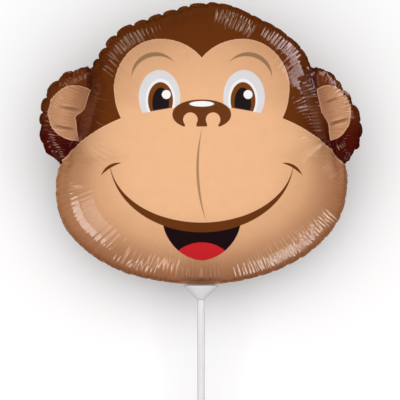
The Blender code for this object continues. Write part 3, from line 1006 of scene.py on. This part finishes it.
def circle_through(a, b, c):
    """Centre and radius of the circle through three points."""
    ax, ay = a[0] - c[0], a[1] - c[1]
    bx, by = b[0] - c[0], b[1] - c[1]
    cross = 2 * (ax * by - ay * bx)
    x = (by * (ax * ax + ay * ay) - ay * (bx * bx + by * by)) / cross
    y = (ax * (bx * bx + by * by) - bx * (ax * ax + ay * ay)) / cross
    return (x + c[0], y + c[1]), math.hypot(x, y)


def crescent(x, y, tip, outer, inner, other_tip):
    """Distance outside a stroke with two pointed ends, which swells between its outer and inner curves."""
    centre, radius = circle_through(tip, outer, other_tip)
    hollow, hollow_radius = circle_through(tip, inner, other_tip)
    return oval(x, y, centre, (radius, radius)).most(-oval(x, y, hollow, (hollow_radius, hollow_radius)))


# The printed face, with light and shade painted into its colours, in millimetres from the middle of the head:
# x is across and y is up. The distance from the face's own middle line to either side is called out.
FACE_MIDDLE = 0.6


def fur(out, y, depth):
    """Brown fur with painted light a few millimetres inside the weld, redder towards the ears, darkest low on
    them, and with painted shade in their roots.
    """
    ear_fur = y.rising(8.0, 46.0).mix(EAR_FUR, EAR_TOP_FUR)
    # The fur's ramp carries painted light near the weld
    colour = (out.rising(78.0, 100.0) * 0.45).mix(depth.ramp(FUR_WITH_PAINTED_RIM_LIGHT), EAR_FUR)
    colour = out.rising(96.0, 104.0).mix(colour, ear_fur)
    # Painted shade in the hollows at the ears' roots
    hollow = oval(out, y, (97.5, 57.0), (4.5, 13.0)).least(oval(out, y, (112.0, 3.0), (13.0, 7.0)))
    return ((-hollow).rising(-4.0, 4.0) * 0.6).mix(colour, EAR_ROOT_PAINTED_SHADE)


def outside_face(out, y):
    """Distance outside the face's bare skin: two brow lobes over a wide muzzle."""
    inner_side = (out - 36.1).math("LESS_THAN", 0.0)
    lobe_width = 40.4 + 5.3 * inner_side
    upper_half = (y - 53.2).math("GREATER_THAN", 0.0)
    lobe_height = 49.7 - 6.5 * upper_half
    lobe = ((((out - 36.1) / lobe_width) ** 2 + ((y - 53.2) / lobe_height) ** 2) ** 0.5 - 1) * 42
    muzzle = oval(out, y, (0, -43.6), (132.5, 83.3)).least(y + 12.0)
    return lobe.least(muzzle)


def outside_inner_ear(out, y, side):
    """Distance outside an ear's bare skin, with a notch over and under it. Side is -1 or 1."""
    across = (out - 110.3) / (21.75 - side * 1.95)
    skin = ((across**2 + ((y - 32.1) / 24.1) ** 2) ** 0.5 - 1) * 22
    over_notch = (112.65 - side * 0.95 - out) - y * (0.2675 - side * 0.0475)
    over_notch = over_notch.most((33.8 - y) - (out - 103.6) * (1.1 + side * 0.4), 2.0)
    under_notch = (109.9 - out) + (26.4 - y) * 0.117 * side
    return skin.most(over_notch.least(under_notch, 2.0))


def inner_ear(out, y, side):
    """The colours of an ear's bare skin, with painted shade towards its root and along its two folds."""
    # Painted shade: the ear's skin is darker towards its root
    colour = out.rising(98.0, 122.0).mix(EAR_SKIN_PAINTED_SHADE, EAR_SKIN)
    # Painted shade along the ear's two folds
    upper_fold_shade = abs(y - 39.6 - side * 3.4 - (out - 113.5) * (0.23 + side * 0.09)).rising(1.8, 0.0)
    upper_fold_shade = upper_fold_shade * abs(out - 113.5).rising(9.0, 4.0)
    lower_fold_shade = abs(y - 22.0 - side * 2.3 - (out - 119.6) * (0.30 + side * 0.06)).rising(1.8, 0.0)
    lower_fold_shade = lower_fold_shade * abs(out - 119.6).rising(10.0, 5.0)
    return (upper_fold_shade * 0.4 + lower_fold_shade * 0.5).mix(colour, EAR_FOLD_PAINTED_SHADE)


def bare_skin(colour, x, out, y, depth):
    """Peach skin over the fur, with a thin pale border, and light and shade painted into it: lighter at the
    weld, on the cheeks and the brows, darker at the chin and on the right cheek.
    """
    side = x.math("SIGN")
    outside_ear = outside_inner_ear(out, y, side)
    outside = outside_face(out, y).least(outside_ear)
    # Painted light and shade: the cheeks' lighter ramp takes over higher up, less on the right cheek, which
    # is painted darker
    right_cheek_painted_shade = x.rising(40.0, 80.0) * (1 - y.rising(-10.0, 40.0))
    up = y.rising(-105.0, -20.0) * (1 - right_cheek_painted_shade * 0.65)
    skin = up.mix(depth.ramp(CHIN_SKIN_PRINT_AND_PAINTED_SHADE), depth.ramp(CHEEK_SKIN_PRINT_AND_PAINTED_LIGHT))
    # Painted light: the skin is lighter towards the top of the brows
    skin = (y.rising(30.0, 65.0) * 0.55).mix(skin, BROW_SKIN_PAINTED_LIGHT)
    skin = outside_ear.inside(0.5).mix(skin, inner_ear(out, y, side))
    border = (outside + 0.45).rising(-0.55, 0.1)
    skin = (border * 0.35).mix(skin, PALE_BORDER_AND_RIDGE_HIGHLIGHT)
    return outside.inside().mix(colour, skin)


def eyes_and_brows(colour, x, out, y):
    """Brows, and eyes that the cheeks cut off below."""
    brow = crescent(out, y, (61.3, 62.9), (42.0, 84.6), (40.9, 81.0), (24.2, 76.2))
    colour = brow.inside(0.7).mix(colour, BROW)
    lid = (40.1 - out * 0.168) - y
    white = oval(out, y, (36.9, 45.4), (18.1, 23.6)).most(lid)
    colour = white.inside().mix(colour, EYE_WHITE)
    iris = oval(out, y, (36.0, 42.3), (10.9, 16.1)).most(lid)
    colour = (iris - 1.9).most(lid).inside(0.8).mix(colour, EYE_RING)
    colour = iris.inside().mix(colour, IRIS)
    pupil = oval(out, y, (35.8, 40.1), (7.3, 13.6)).most(lid + 0.8)
    colour = pupil.inside().mix(colour, PUPIL)
    glint = oval(x, y, (-30.3, 47.5), (3.9, 3.9)).least(oval(x, y, (41.0, 47.5), (3.9, 3.9)))
    return glint.inside().mix(colour, GLINT)


def nose_and_groove(colour, x, out, y):
    """Nose with open nostrils and a highlight, and the groove under it."""
    nose = oval(out, y, (0, 30.1), (25.6, 13.0), 2.15).most(19.5 - y)
    nostril = oval(out, y, (9.9, 25.5), (6.3, 6.3)).least((abs(out - 9.6) - 5.0).most(y - 24.0))
    colour = nose.most(-nostril).inside().mix(colour, NOSE)
    highlight = oval(out, y, (0, 39.3), (10.6, 2.4))
    colour = highlight.inside().mix(colour, GLINT)
    groove = crescent(x, y, (0.9, 17.8), (-4.1, -14.0), (-1.9, -14.0), (4.5, -63.2))
    return groove.inside(0.6).mix(colour, GROOVE)


def mouth_and_smile(colour, out, y):
    """Mouth with its tongue, the smile's line and the marks at its ends."""
    upper = oval(out, y, (0, -8.7), (80.2, 55.5))
    lower = oval(out, y, (0, -8.7), (80.4, 63.9))
    mouth = oval(out, y, (0, -62.4), (34.0, 34.5), 1.8).most(-upper)
    colour = mouth.inside().mix(colour, MOUTH)
    tongue = mouth.most(oval(out, y, (0, -114.2), (32.9, 32.9)))
    colour = tongue.inside().mix(colour, TONGUE)
    smile = lower.most(-upper).most(y + 15.7)
    colour = smile.inside().mix(colour, SMILE)
    mark = crescent(out, y, (87.7, -22.7), (80.6, -13.9), (78.9, -16.0), (70.1, -12.1))
    return mark.inside().mix(colour, SMILE)


def wrinkle_shading(colour, out):
    """Painted light on single wrinkles: a painted highlight on their ridges, and painted shade in their
    grooves.
    """
    wrinkle = out.node("ShaderNodeAttribute", {"attribute_name": "wrinkle"}, output="Fac")
    ridge_highlight_share = out.rising(98.0, 104.0) * 0.55 + 0.26
    # Painted highlight on the ridges, and painted shade in the grooves
    colour = (wrinkle.rising(0.0, 0.45) * ridge_highlight_share).mix(colour, PALE_BORDER_AND_RIDGE_HIGHLIGHT)
    return (wrinkle.rising(0.0, -0.5) * 0.25).mix(colour, WRINKLE_SHADE)


def face_print(place):
    """The colour of the foil's front at a place in the print, with painted light and shade, and the pale neck
    below it.
    """
    x, y, depth = (place.part(axis) for axis in "XYZ")
    out = abs(x - FACE_MIDDLE)
    colour = bare_skin(fur(out, y, depth), x, out, y, depth)
    colour = eyes_and_brows(colour, x, out, y)
    colour = nose_and_groove(colour, x, out, y)
    colour = mouth_and_smile(colour, out, y)
    colour = wrinkle_shading(colour, out)
    return depth.rising(-3.1, -3.5).mix(colour, NECK)


def back_print(place):
    """The back's plain brown, darker at its rim."""
    return place.part("Z").rising(0.0, 60.0).mix(BACK_RIM_FUR, FUR)


def foil_finish(name, print_at):
    """Printed metallised film: the print under a glossy clear layer, with faint crinkles of its own and
    painted shade in streaks near the weld.
    """
    material, shader, pot = new_material(name)
    place = pot.node("ShaderNodeAttribute", {"attribute_name": "print_place"}, output="Vector")
    x, y, depth = (place.part(axis) for axis in "XYZ")
    broad = place.noise(0.09, 3.0, 0.55)
    fine = place.noise(0.55, 4.0, 0.6)
    on_weld = 1 - depth.rising(-0.4, 0.6)
    ribs = pot.node(
        "ShaderNodeTexWave",
        {"wave_type": "BANDS", "bands_direction": "DIAGONAL"},
        {"Vector": place, "Scale": 0.9, "Distortion": 0.6, "Detail": 1.0},
        output="Fac",
    )
    height = fine * 0.35 + broad * 0.65 + ribs * on_weld * 0.5

    # Streaks that run inwards from the seam. They vary the clear layer, and near the weld they darken the
    # colour as painted shade of fine crinkles
    reach = (x * x + y * y + 1.0) ** 0.5
    spread = {"X": x / reach * 46.0, "Y": y / reach * 46.0, "Z": reach * 0.09}
    streaks = pot.node("ShaderNodeCombineXYZ", None, spread).noise(1.0, 2.0, 0.6)
    near_weld = 1 - depth.rising(15.0, 55.0)
    shaded = (broad.rising(0.35, 0.75) * 0.03 + 0.05).mix(print_at(place), CLOUD_SHADE)
    # Painted shade: streaks darken the colour a little near the weld, where the film's fine crinkles would
    # shade it
    shaded = (((streaks - 0.5) * 0.10 + 0.02) * near_weld).mix(shaded, STREAK_SHADE)
    finish_with(
        shader,
        {"Metallic": 0.05, "Coat Roughness": 0.05, "Specular IOR Level": 0.0},
        {
            "Base Color": shaded,
            "Roughness": FOIL_ROUGHNESS + (fine - 0.5) * 0.10 + on_weld * 0.08,
            "Coat Weight": streaks.rising(0.30, 0.55) * 0.4 + 0.6,
            "Normal": height.bump(0.12, 0.0006),
        },
    )
    return material


def plastic_finish(name, colour, roughness, lines_along):
    """Milky white plastic, with faint flow lines and a little unevenness in its gloss."""
    material, shader, pot = new_material(name)
    where = pot.node("ShaderNodeTexCoord", output="Object")
    scale = (LINES_ACROSS, lines_along, LINES_ACROSS)
    lines = pot.node("ShaderNodeMapping", None, {"Vector": where, "Scale": scale}).noise(1.0, 3.0)
    cloud = where.noise(160.0, 3.0)
    shaded = (*(0.93 * c for c in colour[:3]), 1)
    finish_with(
        shader,
        {"Subsurface Weight": 0.25, "Subsurface Radius": (1, 1, 1), "Subsurface Scale": 0.002, "IOR": 1.5},
        {
            "Base Color": (cloud.rising(0.35, 0.7) * 0.5).mix(colour, shaded),
            "Roughness": roughness + (cloud - 0.5) * 0.12,
            "Normal": lines.bump(0.15, 0.0002),
        },
    )
    return material


# Cup and stick, modelled in the head's frame and then laid down
ENDS_FACING = 0.9


def start_part(name, add, middle, **sizes):
    """Adds a round part along the head's Y axis, at this middle, and opens it for editing."""
    bpy.ops.object.select_all(action="DESELECT")
    add(location=(0, middle, 0), rotation=(math.radians(-90), 0, 0), **sizes)
    part = bpy.context.object
    part.name = name
    bpy.ops.object.transform_apply(location=True, rotation=True, scale=True)
    bpy.ops.object.mode_set(mode="EDIT")
    bpy.ops.mesh.select_mode(type="FACE")
    return part


def pick_faces(piece, wanted):
    """Selects the faces whose middle and normal pass the test, and nothing else."""
    bpy.ops.mesh.select_all(action="DESELECT")
    bpy.ops.object.mode_set(mode="OBJECT")
    for face in piece.data.polygons:
        face.select = wanted(face.center, face.normal)
    bpy.ops.object.mode_set(mode="EDIT")


def extrude_along(length):
    """Pulls the selected faces out along the head's Y axis."""
    bpy.ops.mesh.extrude_region_move(TRANSFORM_OT_translate={"value": (0, length, 0)})


def finish_part(part, pose, material, rounding, degrees):
    """Rounds the edges sharper than an angle, and lays the part down so that its place is in its mesh."""
    bpy.ops.object.mode_set(mode="OBJECT")
    bevel = part.modifiers.new("rounded edges", "BEVEL")
    bevel.width = rounding
    bevel.segments = 3
    bevel.limit_method = "ANGLE"
    bevel.angle_limit = math.radians(degrees)
    bpy.ops.object.modifier_apply(modifier=bevel.name)
    bpy.ops.object.shade_smooth_by_angle(angle=math.radians(30))
    part.data.materials.append(material)
    part.matrix_world = pose @ part.matrix_world
    bpy.ops.object.transform_apply(location=True, rotation=True, scale=True)
    return part


def balloon_cup(pose, material):
    """The cup: a cone with a thick lip, a hollow with a floor, and a spigot that plugs into the stick."""
    rim = cup_rim_height()
    cone = {
        "vertices": 96,
        "radius1": STICK_DIAMETER / 2 + CUP_SHOULDER,
        "radius2": CUP_RIM_DIAMETER / 2,
        "depth": CUP_HEIGHT - CUP_LIP,
    }
    middle = (rim - CUP_LIP + (rim - CUP_HEIGHT)) / 2
    cup = start_part("cup", bpy.ops.mesh.primitive_cone_add, middle, **cone)
    pick_faces(cup, lambda centre, normal: normal.y > ENDS_FACING)
    extrude_along(CUP_LIP)
    bpy.ops.mesh.inset(thickness=CUP_RIM_DIAMETER / 2 - cup_inner_radius(0))
    floor = CUP_HEIGHT - CUP_FLOOR
    extrude_along(-floor)
    shrink = cup_inner_radius(floor) / cup_inner_radius(0)
    bpy.ops.transform.resize(value=(shrink, 1, shrink), center_override=(0, rim - floor, 0))
    pick_faces(cup, lambda centre, normal: normal.y < -ENDS_FACING)
    spigot = STICK_DIAMETER / 2 - STICK_WALL - FIT_GAP
    bpy.ops.mesh.inset(thickness=STICK_DIAMETER / 2 + CUP_SHOULDER - spigot)
    extrude_along(-SPIGOT_LENGTH)
    return finish_part(cup, pose, material, 0.00025, 28)


def balloon_stick(pose, material):
    """The stick: a tube that is open at both ends."""
    middle = cup_rim_height() - CUP_HEIGHT - FIT_GAP - STICK_LENGTH / 2
    tube = {"vertices": 64, "radius": STICK_DIAMETER / 2, "depth": STICK_LENGTH}
    stick = start_part("stick", bpy.ops.mesh.primitive_cylinder_add, middle, **tube)
    pick_faces(stick, lambda centre, normal: abs(normal.y) > ENDS_FACING)
    bpy.ops.mesh.inset(thickness=STICK_WALL, use_individual=True)
    bpy.ops.mesh.bridge_edge_loops()
    bpy.ops.mesh.select_all(action="SELECT")
    bpy.ops.mesh.normals_make_consistent(inside=False)
    return finish_part(stick, pose, material, 0.00018, 40)


# Studio. The corners of a softbox's image are millimetres across and up the face
LAVENDER = (1.0, 0.86, 0.90)
CREAM = (1.0, 0.88, 0.74)
WARM = (1.0, 0.93, 0.86)
COOL = (0.90, 0.97, 1.0)
SOFTBOXES = (
    ("crown_right_high", ((71.5, 97.4), (83.7, 85.5), (74.1, 81.1), (65.3, 90.5)), 5.2, LAVENDER),
    ("crown_right_low", ((85.5, 83.7), (96.3, 57.6), (82.9, 56.7), (72.8, 76.8)), 3.6, LAVENDER),
    ("crown_right_glow", ((72.8, 76.8), (82.9, 56.7), (77.6, 55.8), (69.8, 71.5)), 1.6, LAVENDER),
    ("crown_top", ((28.8, 119.1), (33.1, 117.3), (27.5, 103.8), (23.6, 105.5)), 4.4, CREAM),
    ("crown_left", ((-74.1, 92.9), (-65.4, 99.4), (-57.6, 91.6), (-66.3, 84.6)), 1.9, CREAM),
    ("muzzle_left", ((-114.4, -45.0), (-88.5, -82.4), (-82.0, -78.2), (-105.5, -44.2)), 5.0, COOL),
    ("muzzle_left_glow", ((-104.7, -44.5), (-82.0, -77.6), (-71.5, -75.0), (-93.3, -42.7)), 2.0, COOL),
    ("chin_left", ((-48.0, -106.4), (-38.4, -109.9), (-34.9, -89.0), (-43.6, -86.4)), 4.0, WARM),
    ("chin_right_1", ((39.3, -106.4), (51.5, -104.2), (53.2, -92.5), (43.2, -96.8)), 3.0, COOL),
    ("chin_right_2", ((55.8, -103.2), (69.8, -100.1), (69.3, -86.8), (57.6, -90.3)), 3.0, COOL),
    ("chin_right_3", ((74.1, -98.1), (87.2, -88.1), (81.1, -76.3), (72.4, -83.7)), 3.4, COOL),
    ("chin_right_4", ((91.6, -82.9), (103.8, -70.7), (96.0, -61.9), (86.4, -72.4)), 3.4, COOL),
)
SOFTBOX_DISTANCE = 0.09
MEETING_ROUNDS = 6
SLOPE_STEP = 0.001
ROOM_COLOUR = (1.0, 0.95, 0.90, 1)
ROOM_STRENGTH = 0.37
KEY_SIZE = 4.5
KEY_BRIGHTNESS = 1.37
KEY_PLACE = (-0.08, 0.15, 2.3)
FLOOR_SIZE = 14
FLOOR_HEIGHT = -0.0002
FLOOR_COLOUR = (0.96, 0.97, 0.985, 1)
SENSOR_WIDTH = 36


def lower_floor():
    """A pale plain floor under the balloon."""
    bpy.ops.object.select_all(action="DESELECT")
    bpy.ops.mesh.primitive_plane_add(size=FLOOR_SIZE, location=(0, 0, FLOOR_HEIGHT))
    floor = bpy.context.object
    floor.name = "floor"
    material, shader, _ = new_material("pale_floor")
    finish_with(shader, {"Base Color": FLOOR_COLOUR, "Roughness": 0.85}, {})
    floor.data.materials.append(material)
    floor.visible_glossy = False


def soft_light(name, width, height, brightness, colour=(1, 1, 1)):
    """A rectangular light along its own -Z. Brightness is that of its face, where white paper has 1."""
    lamp = bpy.data.lights.new(name, "AREA")
    lamp.shape = "RECTANGLE"
    lamp.size = width
    lamp.size_y = height
    lamp.energy = brightness * math.pi * width * height
    lamp.color = colour
    light = bpy.data.objects.new(name, lamp)
    bpy.context.scene.collection.objects.link(light)
    light.visible_camera = False
    return light


def mirrored_from(place):
    """The point of the smooth film seen at a place in millimetres, and the direction that it mirrors."""
    aim = Vector((place[0] / MILLIMETRES, place[1] / MILLIMETRES, 0))
    spot = aim
    for _ in range(MEETING_ROUNDS):
        spot = aim.lerp(CAMERA_PLACE, float(foil_height(spot.x, spot.y)) / VIEWING_DISTANCE)
    step = SLOPE_STEP
    slope_x = float(foil_height(spot.x + step, spot.y) - foil_height(spot.x - step, spot.y)) / (2 * step)
    slope_y = float(foil_height(spot.x, spot.y + step) - foil_height(spot.x, spot.y - step)) / (2 * step)
    normal = Vector((-slope_x, -slope_y, 1)).normalized()
    return spot, (spot - CAMERA_PLACE).normalized().reflect(normal)


def shine(pose, name, corners, brightness, colour):
    """A softbox that is seen only mirrored in the foil. Its image has these corners in millimetres, along the
    edge that is nearer to the rim and then back along the other one."""
    seen = [mirrored_from(corner) for corner in corners]
    towards = sum((direction for _, direction in seen), Vector()).normalized()
    centre = sum((spot for spot, _ in seen), Vector()) / 4 + towards * SOFTBOX_DISTANCE
    hits = []
    for spot, direction in seen:
        hits.append(spot + direction * ((centre - spot).dot(towards) / direction.dot(towards)))
    side = ((hits[1] - hits[0]) + (hits[2] - hits[3])).normalized()
    rise = towards.cross(side)
    width = abs((hits[1] - hits[0] + hits[2] - hits[3]).dot(side)) / 2
    length = abs((hits[3] - hits[0] + hits[2] - hits[1]).dot(rise)) / 2
    light = soft_light(name, width, length, brightness, colour)
    middle = Matrix.Translation(sum(hits, Vector()) / 4)
    light.matrix_world = pose @ middle @ Matrix((side, rise, towards)).transposed().to_4x4()
    light.visible_diffuse = False


def photographer(pose):
    """The camera: a long lens that looks straight at the face, as the photograph does."""
    camera = bpy.data.cameras.new("camera")
    camera.sensor_width = SENSOR_WIDTH
    camera.lens = SENSOR_WIDTH * VIEWING_DISTANCE / PHOTO_WIDTH
    camera.clip_end = 20
    stand = bpy.data.objects.new("camera", camera)
    bpy.context.scene.collection.objects.link(stand)
    stand.matrix_world = pose @ Matrix.Translation(CAMERA_PLACE)
    bpy.context.scene.camera = stand


def light_up(pose):
    """Soft light: a pale room, a large key light, and softboxes that are seen only mirrored in the foil."""
    world = bpy.data.worlds.new("room")
    world.use_nodes = True
    background = world.node_tree.nodes["Background"]
    background.inputs["Color"].default_value = ROOM_COLOUR
    background.inputs["Strength"].default_value = ROOM_STRENGTH
    bpy.context.scene.world = world
    world.cycles_visibility.glossy = False
    key = soft_light("key", KEY_SIZE, KEY_SIZE, KEY_BRIGHTNESS)
    key.matrix_world = pose @ Matrix.Translation(KEY_PLACE)
    key.visible_glossy = False
    for name, corners, brightness, colour in SOFTBOXES:
        shine(pose, name, corners, brightness, colour)


def main():
    bpy.context.scene.view_settings.view_transform = "Standard"
    pose = resting_pose()
    front = foil_finish("printed_foil_front", face_print)
    back = foil_finish("printed_foil_back", back_print)
    foil = foil_balloon(pose, front, back)
    cup = balloon_cup(pose, plastic_finish("cup_white", CUP_WHITE, CUP_ROUGHNESS, CUP_LINES))
    stick = balloon_stick(pose, plastic_finish("stick_white", STICK_WHITE, STICK_ROUGHNESS, STICK_LINES))
    for piece, node, slot in (
        (foil, "foil_balloon", "printed_foil"),
        (cup, "balloon_cup", "cup_plastic"),
        (stick, "balloon_stick", "stick_plastic"),
    ):
        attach(piece, "root")
        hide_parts(node)
    lower_floor()
    photographer(pose)
    light_up(pose)


main()
